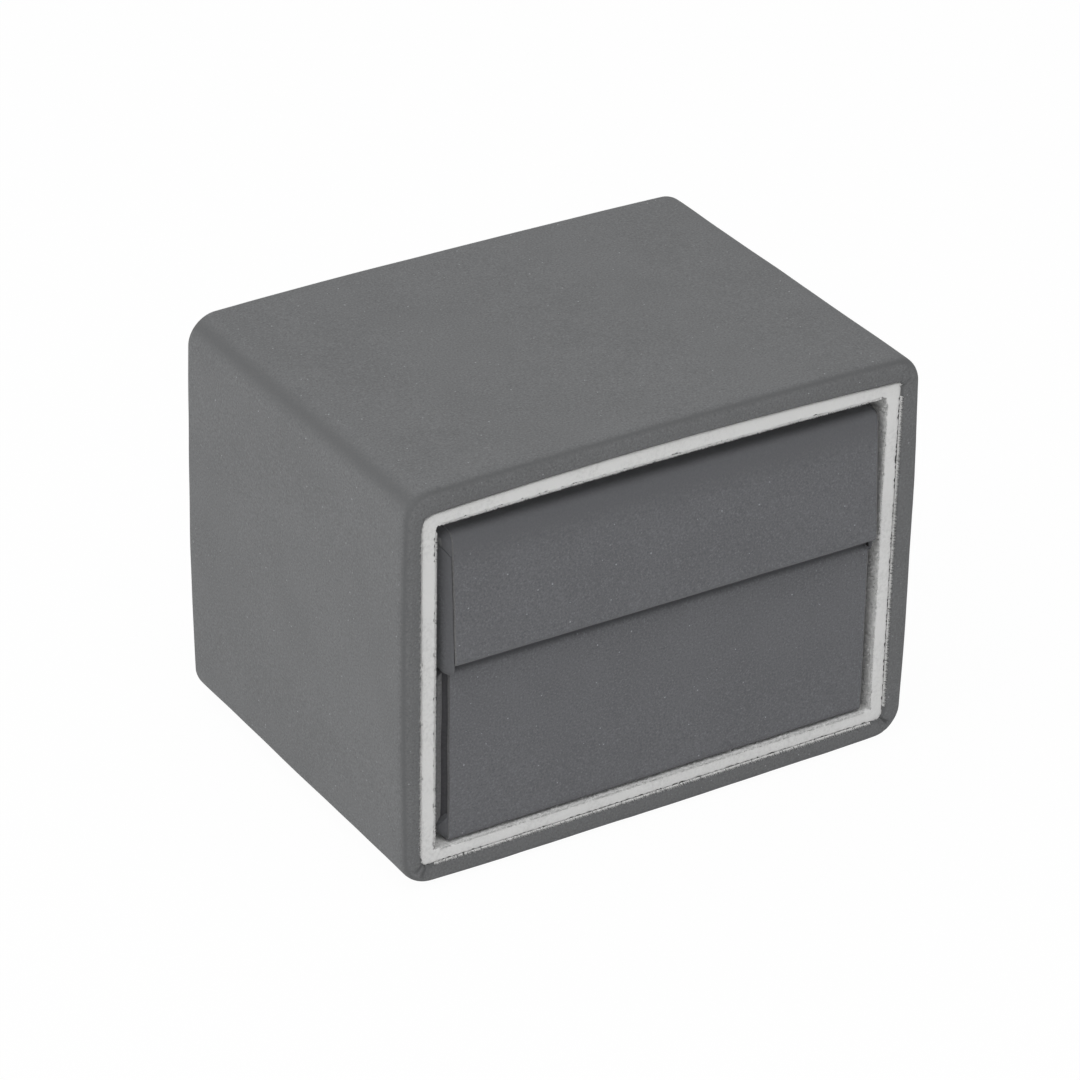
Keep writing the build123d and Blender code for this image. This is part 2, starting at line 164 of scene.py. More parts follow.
def nubuck(name, colour, nap_lift=1.0, shaded=None):
    """Buffed nubuck glued on board: a matt nap with a fine grain, brushed clouds and dust.

    Painted shade darkens the nap where the surface turns round an edge. Its lift is how much paler
    the nap is than the ground below. Shaded is a range of z, in metres, over which painted shade
    darkens it towards the lid's top fold, under the sleeve's roof.
    """
    made, tree, shader = new_material(name)
    nap_colour = shade(colour, nap_lift)
    place = add_node(tree, "ShaderNodeTexCoord")
    point = place.outputs["Object"]
    # brushed clouds, 9 mm across
    clouds = add_node(
        tree, "ShaderNodeTexNoise", {"Vector": point}, in_Scale=110.0, in_Detail=3.0, in_Roughness=0.6
    )
    # nap, 0.3 mm grains: the real nap is near 0.1 mm, drawn coarser so that it shows
    nap = add_node(
        tree, "ShaderNodeTexNoise", {"Vector": point}, in_Scale=3400.0, in_Detail=3.0, in_Roughness=0.8
    )
    # specks of dust up to 0.25 mm, in one of ten cells of 0.6 mm
    specks = add_node(
        tree, "ShaderNodeTexVoronoi", {"Vector": point}, in_Scale=1600.0, in_Randomness=1.0
    )
    size = add_node(
        tree, "ShaderNodeTexWhiteNoise", {"Vector": specks.outputs["Position"]}, noise_dimensions="3D"
    )
    edge = add_node(
        tree, "ShaderNodeMapRange", {"Value": size.outputs["Value"]}, in_From_Min=0.9, in_To_Max=0.2
    )
    inside = add_node(
        tree,
        "ShaderNodeMath",
        {0: specks.outputs["Distance"], 1: edge.outputs[0]},
        operation="LESS_THAN",
    )
    cloud = ramp(tree, clouds.outputs["Fac"], 0.3, 0.7)
    tone = mix_colours(tree, cloud, shade(colour, 0.929), colour)
    for start, end, share in ((0.5, 0.7, 1.25), (0.5, 0.3, 0.705)):  # raised grains, then hollows
        grains = ramp(tree, nap.outputs["Fac"], start, end)
        tone = mix_colours(tree, grains, tone, shade(nap_colour, share))
    tone = mix_colours(tree, inside.outputs[0], tone, shade(nap_colour, 1.97))
    # how squarely the surface faces along one of the axes: 1 on a flat face, 0.7 half way round an edge
    facing = add_node(tree, "ShaderNodeVectorMath", {0: place.outputs["Normal"]}, operation="ABSOLUTE")
    parts = add_node(tree, "ShaderNodeSeparateXYZ", {0: facing.outputs[0]})
    widest = parts.outputs[0]
    for axis in (1, 2):
        widest = add_node(
            tree, "ShaderNodeMath", {0: widest, 1: parts.outputs[axis]}, operation="MAXIMUM"
        ).outputs[0]
    # painted shade: darker where the surface turns round an edge, half way between flat faces
    painted_edge_shade = ramp(tree, widest, 1.0, 0.72)
    grain = nap.outputs["Fac"]
    edge_shade_tone = mix_colours(tree, grain, shade(nap_colour, 0.625), shade(nap_colour, 0.918))
    tone = mix_colours(tree, painted_edge_shade, tone, edge_shade_tone)
    # painted shade on the lid's top fold, standing in for the shadow under the sleeve's roof
    if shaded:
        height = add_node(tree, "ShaderNodeSeparateXYZ", {0: point}).outputs["Z"]
        fold_shade_tone = mix_colours(tree, grain, shade(nap_colour, 0.645), shade(nap_colour, 0.925))
        tone = mix_colours(tree, ramp(tree, height, *shaded), tone, fold_shade_tone)
    tree.links.new(tone, shader.inputs["Base Color"])
    soft = add_node(
        tree, "ShaderNodeBump", {"Height": clouds.outputs["Fac"]}, in_Strength=0.25, in_Distance=0.0004
    )
    fine = add_node(
        tree,
        "ShaderNodeBump",
        {"Height": nap.outputs["Fac"], "Normal": soft.outputs[0]},
        in_Strength=0.5,
        in_Distance=0.00006,
    )
    tree.links.new(fine.outputs[0], shader.inputs["Normal"])
    shader.inputs["Roughness"].default_value = 0.92
    shader.inputs["Specular IOR Level"].default_value = 0.09
    shader.inputs["Sheen Weight"].default_value = 0.12
    shader.inputs["Sheen Roughness"].default_value = 0.5
    return made


def pile(name, tips, depth, tuft, sheen):
    """Short pile, as on velour and velvet: tufts light at the tips and darker between.

    Depth is how dark the roots are as a share of the tips, tuft the width of a tuft in metres.
    """
    made, tree, shader = new_material(name)
    place = add_node(tree, "ShaderNodeTexCoord").outputs["Object"]
    tufts = add_node(
        tree,
        "ShaderNodeTexNoise",
        {"Vector": place},
        in_Scale=1 / tuft,
        in_Detail=4.0,
        in_Roughness=0.7,
    )
    # strokes of a hand over the pile, twelve tufts wide
    strokes = add_node(
        tree,
        "ShaderNodeTexNoise",
        {"Vector": place},
        in_Scale=1 / (12 * tuft),
        in_Detail=2.0,
        in_Roughness=0.5,
    )
    tone = mix_colours(tree, ramp(tree, tufts.outputs["Fac"], 0.3, 0.6), shade(tips, depth), tips)
    tone = mix_colours(tree, ramp(tree, strokes.outputs["Fac"], 0.35, 0.65), tone, tips)
    tree.links.new(tone, shader.inputs["Base Color"])
    bump = add_node(
        tree, "ShaderNodeBump", {"Height": tufts.outputs["Fac"]}, in_Strength=0.5, in_Distance=0.00015
    )
    tree.links.new(bump.outputs[0], shader.inputs["Normal"])
    shader.inputs["Roughness"].default_value = 0.95
    shader.inputs["Specular IOR Level"].default_value = 0.045
    shader.inputs["Sheen Weight"].default_value = sheen
    shader.inputs["Sheen Roughness"].default_value = 0.4
    return made


def plain_fibre(name, light, dark, fleck, roughness):
    """Pressed or moulded stock with flecks of fibre of this width, in metres."""
    made, tree, shader = new_material(name)
    place = add_node(tree, "ShaderNodeTexCoord").outputs["Object"]
    flecks = add_node(
        tree,
        "ShaderNodeTexNoise",
        {"Vector": place},
        in_Scale=1 / fleck,
        in_Detail=6.0,
        in_Roughness=0.8,
    )
    tone = mix_colours(tree, ramp(tree, flecks.outputs["Fac"], 0.35, 0.65), linear(dark), linear(light))
    tree.links.new(tone, shader.inputs["Base Color"])
    bump = add_node(
        tree, "ShaderNodeBump", {"Height": flecks.outputs["Fac"]}, in_Strength=0.3, in_Distance=0.0001
    )
    tree.links.new(bump.outputs[0], shader.inputs["Normal"])
    shader.inputs["Roughness"].default_value = roughness
    shader.inputs["Specular IOR Level"].default_value = 0.25
    return made


def steel(name):
    """Zinc-plated steel strip: drawn lines along the hinge, a soft bright shine."""
    made, tree, shader = new_material(name)
    place = add_node(tree, "ShaderNodeTexCoord").outputs["Object"]
    # lines 0.25 mm apart and 17 mm long
    along = add_node(tree, "ShaderNodeMapping", {"Vector": place}, in_Scale=(60.0, 4000.0, 4000.0))
    lines = add_node(
        tree, "ShaderNodeTexNoise", {"Vector": along.outputs[0]}, in_Scale=1.0, in_Detail=3.0
    )
    tone = mix_colours(tree, lines.outputs["Fac"], linear("#b4b5b8"), linear("#cfd0d1"))
    tree.links.new(tone, shader.inputs["Base Color"])
    shader.inputs["Metallic"].default_value = 1.0
    shader.inputs["Roughness"].default_value = 0.38
    return made


MATERIALS = {}


def make_materials(colours):
    """All finishes, keyed by the record's material slots."""
    # cool mid-grey suede-like skin of the sleeve, softly clouded, with painted shade along its rounded
    # edges
    MATERIALS["wrap_nubuck"] = nubuck("wrap_nubuck", colours.sleeve)
    # the same hide on the ring box, a shade deeper and bluer, with painted shade on the lid's top fold
    # under the roof
    MATERIALS["cover_nubuck"] = nubuck("cover_nubuck", colours.ring_box, 1.068, (0.0455, 0.051))
    # raw fibre at the cut of the sheets, a thin paler line beside each overlap; flecks 0.33 mm
    MATERIALS["cut_edge"] = plain_fibre("cut_edge", "#8f8f90", "#767677", 0.00033, 0.95)
    # the near-white band round the mouth, with a tufted, matt face; tufts 0.56 mm
    MATERIALS["plush"] = pile("plush", colours.plush, 0.863, 0.00056, 0.1)
    # grey lining and ring pads, deep between the tufts and light at a glancing angle; tufts 0.33 mm
    MATERIALS["velvet"] = pile("velvet", colours.velvet, 0.588, 0.00033, 0.5)
    # pale lid pad, close in weave with a faint sheen; 0.25 mm
    MATERIALS["satin"] = pile("satin", colours.satin, 0.881, 0.00025, 0.3)
    # warm recycled board inside the walls, flecked; flecks 1.1 mm
    MATERIALS["greyboard"] = plain_fibre("greyboard", "#8e8a83", "#787570", 0.0011, 0.9)
    # dark moulded shells of the ring box, faintly grained; 0.4 mm
    MATERIALS["moulded_tray"] = plain_fibre("moulded_tray", "#565659", "#4c4c4f", 0.0004, 0.6)
    # the only bright thing on the object: hinge, pin and spring
    MATERIALS["hinge_steel"] = steel("hinge_steel")


# ---------------------------------------------------------------- mesh helpers


def put(name, bm, slot, body, *nodes):
    """Finish a mesh as a piece: metres, smooth faces, its material, its body and what it replaces."""
    bmesh.ops.scale(bm, vec=(MM, MM, MM), verts=bm.verts)
    mesh = bpy.data.meshes.new(name)
    bm.to_mesh(mesh)
    bm.free()
    mesh.polygons.foreach_set("use_smooth", [True] * len(mesh.polygons))
    piece = bpy.data.objects.new(name, mesh)
    bpy.context.scene.collection.objects.link(piece)
    mesh.materials.append(MATERIALS[slot])
    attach(piece, body)
    if nodes:
        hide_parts(*nodes)
    return piece


def wave(x, y, z, size, seed=0.0):
    """Smooth noise between about -1 and 1 with bumps of the given size."""
    return noise.noise(Vector((x / size + seed, y / size - seed, z / size + 0.5 * seed)))


# ---------------------------------------------------------------- sleeve wrap


class Outline:
    """Rounded rectangle across the sleeve: half width, lowest and highest z, corner radius.

    A corner's bend is 1 where it is round and nearer 0 where it is square, in the order lower left,
    lower right, upper left, upper right. The shift moves the whole outline to the right.
    """

    def __init__(self, half, low, high, radius, bends=(1, 1, 1, 1), shift=0.0):
        self.half, self.low, self.high, self.radius = half, low, high, radius
        self.bends, self.shift = bends, shift
        self.core_x = half - radius
        self.core_low, self.core_high = low + radius, high - radius

    def core(self, x, z):
        """Nearest point of the straight core and the direction out from it."""
        near_x = max(-self.core_x, min(self.core_x, x))
        near_z = max(self.core_low, min(self.core_high, z))
        point = Vector((near_x, near_z))
        return point, (Vector((x, z)) - point).normalized()

    def shares(self, point):
        """A core point as shares of the core's width and height, from -1 to 1 and 0 to 1."""
        return point.x / self.core_x, (point.y - self.core_low) / (self.core_high - self.core_low)

    def at(self, shares, out):
        """The outline's point that has these shares and faces this way."""
        x = shares[0] * self.core_x
        z = self.core_low + shares[1] * (self.core_high - self.core_low)
        bend = self.bends[(out.x > 0) + 2 * (out.y > 0)]
        return Vector((x + self.shift, z)) + self.radius * Vector(
            [math.copysign(abs(part) ** bend, part) for part in out]
        )


SLEEVE = Outline(EDGE_X, LOW_Z, HIGH_Z, CORNER)
HAND_CUT = (0.5, 0.5, 0.9, 0.25)  # the wrap is turned in more sharply at some corners
MOUTH = Outline(LINING_X + 0.1, LINING_LOW - 0.1, LINING_HIGH, LINING_CORNER, HAND_CUT, -0.3)
CAVITY = Outline(CAVITY_X, CAVITY_LOW - 0.7, CAVITY_HIGH, 0.9, HAND_CUT, -0.3)
MOUTH_SWELL = 0.9  # the turned-in edge of the roof bows up in the middle


def tube(outline, y_range, segments, cuts):
    """Open tube with this cross-section along the depth, cut into cells of the given sizes."""
    bm = bmesh.new()
    bmesh.ops.create_cube(bm, size=1)
    bmesh.ops.scale(
        bm,
        vec=(2 * outline.half, y_range[1] - y_range[0], outline.high - outline.low),
        verts=bm.verts,
    )
    middle = ((y_range[0] + y_range[1]) / 2, (outline.low + outline.high) / 2)
    bmesh.ops.translate(bm, vec=(0, *middle), verts=bm.verts)
    long_edges = [e for e in bm.edges if abs(e.verts[0].co.y - e.verts[1].co.y) > 1]
    bmesh.ops.bevel(
        bm,
        geom=long_edges,
        offset=outline.radius,
        affect="EDGES",
        segments=segments,
        profile=0.5,
        material=-1,
    )
    bm.normal_update()
    ends = [f for f in bm.faces if abs(f.normal.y) > 0.5]
    bmesh.ops.delete(bm, geom=ends, context="FACES_ONLY")
    for axis, step in zip((0, 2, 1), cuts):
        if step:
            run = [e for e in bm.edges if abs((e.verts[1].co - e.verts[0].co).normalized()[axis]) > 0.99
                   and e.calc_length() > 3]
            length = max(e.calc_length() for e in run)
            bmesh.ops.subdivide_edges(bm, edges=run, cuts=round(length / step), use_grid_fill=True)
    return bm


def rim_of(bm, y):
    """Boundary edges of an open end."""
    return [e for e in bm.edges if e.is_boundary and abs(e.verts[0].co.y - y) < 0.01
            and abs(e.verts[1].co.y - y) < 0.01]


def grow_ring(bm, edge, origins):
    """Extrude an open end by one ring. Returns its edges and each new vertex with its origin."""
    made = bmesh.ops.extrude_edge_only(bm, edges=edge)["geom"]
    fresh = [g for g in made if isinstance(g, bmesh.types.BMVert)]
    edges = [g for g in made if isinstance(g, bmesh.types.BMEdge) and g.is_boundary]
    for v in fresh:
        near = [e.other_vert(v) for e in v.link_edges if e.other_vert(v) in origins]
        origins[v] = origins[min(near, key=lambda source: (source.co - v.co).length)]
    return edges, fresh


def swell_at(x, z, out, depth):
    """How far the padding lifts a point of the outline; depth is 0 outside, 1 at the mouth."""
    across = 1 - min(1, abs(x) / EDGE_X) ** 2
    middle = (LOW_Z + HIGH_Z) / 2
    upward = 1 - min(1, abs(z - middle) / (HIGH_Z - middle)) ** 2
    if out.y > 0:
        rise = SWELL + depth * (MOUTH_SWELL - SWELL)
        return Vector((SWELL * upward * out.x * (1 - depth), rise * across * out.y))
    from_flat = max(0, (abs(x) - UNDERSIDE_FLAT) / (EDGE_X - UNDERSIDE_FLAT))
    fall = SWELL * (1 - from_flat**2) * out.y * (1 - depth)
    return Vector((SWELL * upward * out.x * (1 - depth), fall))


# Gathers of the wrap at the corners of the mouth: side, top or bottom, angle from level (degrees),
# half width (degrees), depth (mm), length as a share of the border
GATHERS = (
    (-1, -1, 62, 5, 0.34, 0.9),
    (-1, -1, 36, 5, 0.28, 0.8),
    (-1, -1, 82, 4, 0.16, 0.9),
    (1, -1, 47, 5, 0.45, 0.7),
    (1, -1, 66, 4, 0.14, 0.9),
    (1, 1, 66, 5, 0.12, 0.7),
    (1, 1, 24, 5, 0.16, 0.6),
    (1, 1, 40, 4, 0.10, 0.8),
    (-1, 1, 50, 6, 0.22, 0.4),
)


class RINGBOX_OT_wrap(bpy.types.Operator):
    """Padded nubuck wrap of the sleeve, folded in at the mouth and over the back"""

    bl_idname = "ringbox.wrap"
    bl_label = "Sleeve wrap"

    def execute(self, context):
        sizes = context.scene.ringbox_sleeve
        nose, step, tail = sizes.nose / MM, sizes.step / MM, 0.5
        bm = tube(SLEEVE, (FRONT + NOSE_RUN, BACK - tail), 30, (step, step, step))
        origins = {}
        for v in bm.verts:
            point, out = SLEEVE.core(v.co.x, v.co.z)
            origins[v] = (SLEEVE.shares(point), out.freeze())
        depth_of = {v: 0.0 for v in bm.verts}
        front_rim, back_rim = rim_of(bm, FRONT + NOSE_RUN), rim_of(bm, BACK - tail)
        self.fold(bm, origins, depth_of, front_rim, FRONT, -1, self.mouth_rings(nose))
        self.fold(bm, origins, depth_of, back_rim, BACK, 1, self.back_rings(tail))
        for v, (shares, out) in origins.items():
            flat = SLEEVE.at(shares, out)
            lift = swell_at(flat.x, flat.y, out, depth_of[v])
            v.co.x += lift.x
            v.co.z += lift.y
        self.pucker(bm, origins, depth_of)
        bmesh.ops.recalc_face_normals(bm, faces=bm.faces)
        piece = put("sleeve_wrap_padded", bm, "wrap_nubuck", "sleeve", "sleeve_wrap")
        wall = piece.modifiers.new("wall", "SOLIDIFY")
        wall.thickness = 0.25 * MM
        wall.offset = -1
        fine = piece.modifiers.new("fine", "SUBSURF")
        fine.levels = fine.render_levels = 1
        return {"FINISHED"}

    def mouth_rings(self, nose):
        """Share of the border and depth in mm of each ring, round the nose and into the mouth."""
        lip, spacing = 0.6, 0.56
        turn = [math.radians(15 * k) for k in range(1, 7)]
        rings = [(0.0, NOSE_RUN - spacing * k) for k in range(1, 10)] + [(0.0, nose)]
        rings += [(nose * (1 - math.cos(a)), nose * (1 - math.sin(a))) for a in turn]
        rings += [(nose + 0.3 * k, 0.0) for k in range(1, 4)]
        rings += [(MOUTH_WALL - lip + lip * math.sin(a), lip * (1 - math.cos(a))) for a in turn]
        inside = [(1.0, y) for y in (1.0, 1.6, 4.0, 12.0)]
        return [(inset / MOUTH_WALL, y) for inset, y in rings] + inside

    def back_rings(self, tail):
        """The same round the back edge, flat over the back and down to its sheet."""
        turn = [math.radians(22.5 * k) for k in range(1, 5)]
        rings = [(tail * (1 - math.cos(a)), tail * (1 - math.sin(a))) for a in turn]
        rings += [(2.0, 0.0), (3.4, 0.0), (3.75, 0.05), (3.8, 0.4)]
        return [(inset / MOUTH_WALL, y) for inset, y in rings]

    def fold(self, bm, origins, depth_of, edge, end_y, side, rings):
        """Roll the wrap round one end, ring by ring."""
        for share, y in rings:
            edge, fresh = grow_ring(bm, edge, origins)
            for v in fresh:
                shares, out = origins[v]
                spot = SLEEVE.at(shares, out).lerp(MOUTH.at(shares, out), share)
                v.co = Vector((spot.x, end_y - side * y, spot.y))
                depth_of[v] = min(1.0, share)

    def pucker(self, bm, origins, depth_of):
        """Hand-wrapped unevenness: slow waves in the padding, gathers at the mouth's corners."""
        bm.normal_update()
        shift = {}
        for v, (shares, out) in origins.items():
            x, y, z = v.co
            front_side = y < 0
            depth = depth_of[v]
            loose = 1 - 0.8 * depth if front_side else 1 - depth
            slow = (0.09 * wave(x, y, z, 17, 3.1) + 0.05 * wave(x, y, z, 7, 7.7)) * max(0, loose)
            near_front = math.exp(-(((y - FRONT) / 2.5) ** 2)) if front_side else 0.0
            crumple = 0.04 * wave(x, y, z, 2.2, 1.3) * near_front
            groove = 0.0
            if near_front > 0.05 and abs(out.x) > 0.02 and abs(out.y) > 0.02:
                angle = math.degrees(math.atan2(abs(out.y), abs(out.x)))
                for side, up, middle, width, deep, length in GATHERS:
                    if side * out.x > 0 and up * out.y > 0:
                        bend = 6 * wave(depth * 3, middle, 0, 1.0)
                        across = math.exp(-(((angle - middle - bend) / width) ** 2))
                        start = max(0.0, min(1.0, (depth - 1 + length) * 4))
                        run = start * min(1.0, 12 * (1.04 - depth))
                        groove += deep * across * max(0.0, run)
            shift[v] = v.normal * (slow + crumple - groove * near_front)
        for v, move in shift.items():
            v.co += move


def plush_lift(x, out, share):
    """The roof of the lining swells with the padding of the sleeve, its outer edge most."""
    swell = MOUTH_SWELL + share * (LINING_SWELL - MOUTH_SWELL)
    return swell * (1 - min(1, abs(x) / LINING_X) ** 2) * max(0.0, out.y)


class RINGBOX_OT_plush(bpy.types.Operator):
    """Plush lining: cards with a short pale pile, cut off at the mouth, and frayed fibres"""

    bl_idname = "ringbox.plush"
    bl_label = "Plush lining"

    def execute(self, context):
        face = FRONT + context.scene.ringbox_sleeve.pile_recess / MM
        side = face + 0.25  # the cut face rounds off over this depth
        bm = tube(MOUTH, (side, CAVITY_BACK), 18, (0.16, 0.16, None))
        origins = {}
        for v in bm.verts:
            point, out = MOUTH.core(v.co.x, v.co.z)
            origins[v] = (MOUTH.shares(point), out.freeze())
            spot = MOUTH.at(*origins[v])
            v.co.x, v.co.z = spot.x, spot.y + plush_lift(spot.x, out, 0.0)
        edge = rim_of(bm, side)
        # share of the way from the mouth to the cavity, and depth behind the face
        rings = [(0.03, 0.08), (0.1, 0.02), (0.25, 0.0), (0.42, 0.0), (0.6, 0.0), (0.78, 0.0)]
        rings += [(0.92, 0.03), (0.98, 0.09)]
        rings += [(1.0, y) for y in (0.25, 0.6, 1.0, 1.6, 2.4, 4.0, 9.0, 20.0, 36.0, CAVITY_BACK - face)]
        share_of = {v: 0.0 for v in bm.verts}
        for share, y in rings:
            edge, fresh = grow_ring(bm, edge, origins)
            for v in fresh:
                shares, out = origins[v]
                spot = MOUTH.at(shares, out).lerp(CAVITY.at(shares, out), share)
                v.co = Vector((spot.x, face + y, spot.y + plush_lift(spot.x, out, share)))
                share_of[v] = share
        for v, (shares, out) in origins.items():
            self.fray(v, out, share_of[v], v.co.y - face)
        bmesh.ops.recalc_face_normals(bm, faces=bm.faces)
        cards = ("plush_top", "plush_bottom", "plush_left", "plush_right")
        put("plush_lining", bm, "plush", "sleeve", *cards)
        self.fibres(face)
        return {"FINISHED"}

    def fray(self, v, out, share, depth):
        """Ragged edges of the cut pile, and tufts on the inside."""
        x, y, z = v.co
        teeth = 0.45 - abs(wave(x, 0.2 * y, z, 0.75, 2.2)) * 1.6 + 0.9 * wave(x, 0.2 * y, z, 0.3, 5.1)
        slow = wave(x, y, z, 3.0, 9.3)
        if share < 0.5 and depth < 0.3:
            smooth = 0.25 if out.y > 0.7 else 1.0  # the roof's outer edge is cut clean
            reach = (0.40 * teeth + 0.12 * slow) * max(0.0, 1 - share / 0.12) * smooth
            v.co.y += 0.04 * wave(x, y, z, 0.5, 6.6)
        elif depth < 0.3:
            reach = -(0.40 * teeth + 0.10 * slow) * max(0.0, (share - 0.88) / 0.12)
        else:
            reach = -(0.22 * teeth + 0.10 * slow) * math.exp(-depth / 2) - 0.03 * teeth
        if share > 0.5 and out.y < -0.5:
            reach = -abs(reach)  # the floor's pile stands up against the box
        elif depth >= 0.3 and (out.y > 0.5 or out.x < -0.5):
            reach = 0.35  # worn back behind the cut
        v.co.x += out.x * reach
        v.co.z += out.y * reach

    def fibres(self, face):
        """Loose ends of pile along both edges of the cut and on the first millimetres inside."""
        draw = random.Random(11)
        doublings = 14  # from one fibre to 16,384
        bm = bmesh.new()
        bmesh.ops.create_cone(bm, cap_ends=True, segments=3, radius1=1.0, radius2=0.0, depth=1.0)
        for _ in range(doublings):
            bmesh.ops.duplicate(bm, geom=bm.verts[:] + bm.edges[:] + bm.faces[:])
        for index, top in enumerate([v for v in bm.verts if v.co.z > 0]):
            inner = index % 5 > 1
            spot, out = self.perimeter_point(CAVITY if inner else MOUTH, draw.random())
            hidden = inner and (out.x < -0.5 or out.y > 0.5)
            inward = index % 5 > 2 and not hidden
            deep = draw.random() ** 2 * 4.0 if inward else draw.uniform(-0.05, 0.15)
            lift = plush_lift(spot.x, out, 1.0 if inner else 0.0)
            root = Vector((spot.x, face + deep, spot.y + lift))
            away = Vector((out.x, 0, out.y)) * (-1 if inner else 1)
            # the left edge and the floor are the shaggiest, the roof's outer edge is cut clean
            if inner:
                length = draw.uniform(0.15, 0.3 if hidden else 0.75)
                lean = [draw.uniform(-0.7, 0.7), draw.uniform(-0.7, 0.1), draw.uniform(-0.7, 0.7)]
            else:
                root.y = face - 0.1
                length = draw.uniform(0.3, 0.8 if out.x < -0.5 else 0.3 if out.y > 0.5 else 0.5)
                lean = [draw.uniform(-0.6, 0.6), draw.uniform(-1.3, -0.7), draw.uniform(-0.6, 0.6)]
            along = (away + 0.8 * Vector(lean)).normalized()
            width = draw.uniform(0.04, 0.08)
            if index % 170 == 0:  # a frayed tip at the upper right corner
                root = Vector((MOUTH.half - 0.5, face + 0.1, MOUTH.high + draw.uniform(-0.5, 0.1)))
                along = Vector((1, draw.uniform(-0.5, 0.1), draw.uniform(-0.5, 0.6))).normalized()
                length = draw.uniform(0.4, 1.1)
            place = (
                Matrix.Translation(root + along * (length / 2 - 0.05))
                @ along.to_track_quat("Z", "Y").to_matrix().to_4x4()
                @ Matrix.Diagonal((width, width, length + 0.1, 1.0))
            )
            for v in [top] + [e.other_vert(top) for e in top.link_edges]:
                v.co = place @ v.co
        put("plush_fibres", bm, "plush", "sleeve")

    def perimeter_point(self, outline, share):
        """Point and outward direction at a share of the way round an outline."""
        width = 2 * outline.core_x
        height = outline.core_high - outline.core_low
        run = share * 2 * (width + height)
        for length, start, along, out in (
            (width, Vector((-outline.core_x, outline.high)), Vector((1, 0)), Vector((0, 1))),
            (height, Vector((outline.half, outline.core_high)), Vector((0, -1)), Vector((1, 0))),
            (width, Vector((outline.core_x, outline.low)), Vector((-1, 0)), Vector((0, -1))),
            (height, Vector((-outline.half, outline.core_low)), Vector((0, 1)), Vector((-1, 0))),
        ):
            if run <= length:
                break
            run -= length
        return start + along * min(run, length) + Vector((outline.shift, 0)), out


# ---------------------------------------------------------------- sheets, pads and linings


def copy_of(node):
    """A rigid part's own shape as a clean mesh in millimetres."""
    bm = bmesh.new()
    bm.from_mesh(frame["nodes"][node].data)
    bmesh.ops.scale(bm, vec=(1 / MM, 1 / MM, 1 / MM), verts=bm.verts)
    bmesh.ops.remove_doubles(bm, verts=bm.verts, dist=0.002)
    bmesh.ops.dissolve_limit(bm, angle_limit=math.radians(0.5), verts=bm.verts, edges=bm.edges)
    return bm


def cut_grid(bm, steps):
    """Cut a mesh by planes across x, y and z, this many millimetres apart (0 for none)."""
    for axis, step in enumerate(steps):
        if not step:
            continue
        places = [v.co[axis] for v in bm.verts]
        low, high = min(places), max(places)
        count = max(1, round((high - low) / step))
        across = Vector([1.0 if k == axis else 0.0 for k in range(3)])
        for k in range(1, count):
            bmesh.ops.bisect_plane(
                bm,
                geom=bm.verts[:] + bm.edges[:] + bm.faces[:],
                plane_co=across * (low + (high - low) * k / count),
                plane_no=across,
                dist=0.001,
            )


def uneven(bm, amount, size, seed):
    """Move a mesh by a smooth field, so that a thin sheet keeps its thickness."""
    for v in bm.verts:
        x, y, z = v.co
        v.co += amount * Vector([wave(x, y, z, size, seed + 11 * k) for k in range(3)])


def press_fold(bm):
    """Press the fold under the box's front sharper, down into the pile that it stands on."""
    front, low = min(v.co.y for v in bm.verts), min(v.co.z for v in bm.verts)
    turn, pressed = 1.6, 0.7  # size of the fold, and how far it is pressed down
    centre_y, centre_z = front + turn, low + turn
    for v in bm.verts:
        back, up = v.co.y - centre_y, v.co.z - centre_z
        if back < 0 and up < 0:
            reach = math.hypot(back, up)
            v.co.y = centre_y - reach * (-back / reach) ** 0.45
            v.co.z = centre_z - reach * (-up / reach) ** 0.45
        if v.co.z < centre_z:
            near = max(0.0, min(1.0, (FRONT_ZONE_Y - v.co.y) / 4))
            v.co.z -= pressed * min(1.0, (centre_z - v.co.z) / turn) * near


def drop_corner(bm):
    """The flanks meet a little lower at the front corner, where the lid's rim bulges over the box."""
    for v in bm.verts:
        near = max(0.0, min(1.0, (FRONT_ZONE_Y - v.co.y) / 5))
        level = math.exp(-(((v.co.z - SPLIT_Z) / 3) ** 2))
        v.co.z -= CORNER_DROP * near * near * (3 - 2 * near) * level


def glued_sheet(node, body, slot, cut, soft=0.1, amount=0.06):
    """Sheet glued on a rigid part: gently uneven faces, soft corners and a paler cut edge."""
    bm = copy_of(node)
    cut_grid(bm, (2.0, 2.0, 2.0))
    bm.normal_update()
    for face in bm.faces:
        face.material_index = 1 if cut(face.normal) else 0
    if node == "box_cover":
        press_fold(bm)
    if "flank" in node:
        drop_corner(bm)
    if node == "lid_cover":
        for v in bm.verts:
            v.co.z += LID_EDGE_LIFT * max(0.0, min(1.0, 34 - v.co.z)) * max(0.0, min(1.0, -26 - v.co.y))
    if node.endswith("cover"):
        for v in bm.verts:
            v.co.x += SHEET_SHIFT * max(0.0, min(1.0, v.co.x - SHEET_END_X))
    uneven(bm, amount, 6.0, 4.4)
    uneven(bm, amount / 3, 1.8, 8.8)
    piece = put(node + "_sheet", bm, slot, body, node)
    piece.data.materials.append(MATERIALS["cut_edge"])
    piece.data.set_sharp_from_angle(angle=math.radians(40))
    rounded = piece.modifiers.new("soft_corners", "BEVEL")
    rounded.width = soft * MM
    rounded.segments = 2
    rounded.limit_method = "ANGLE"
    rounded.angle_limit = math.radians(50)
    return piece


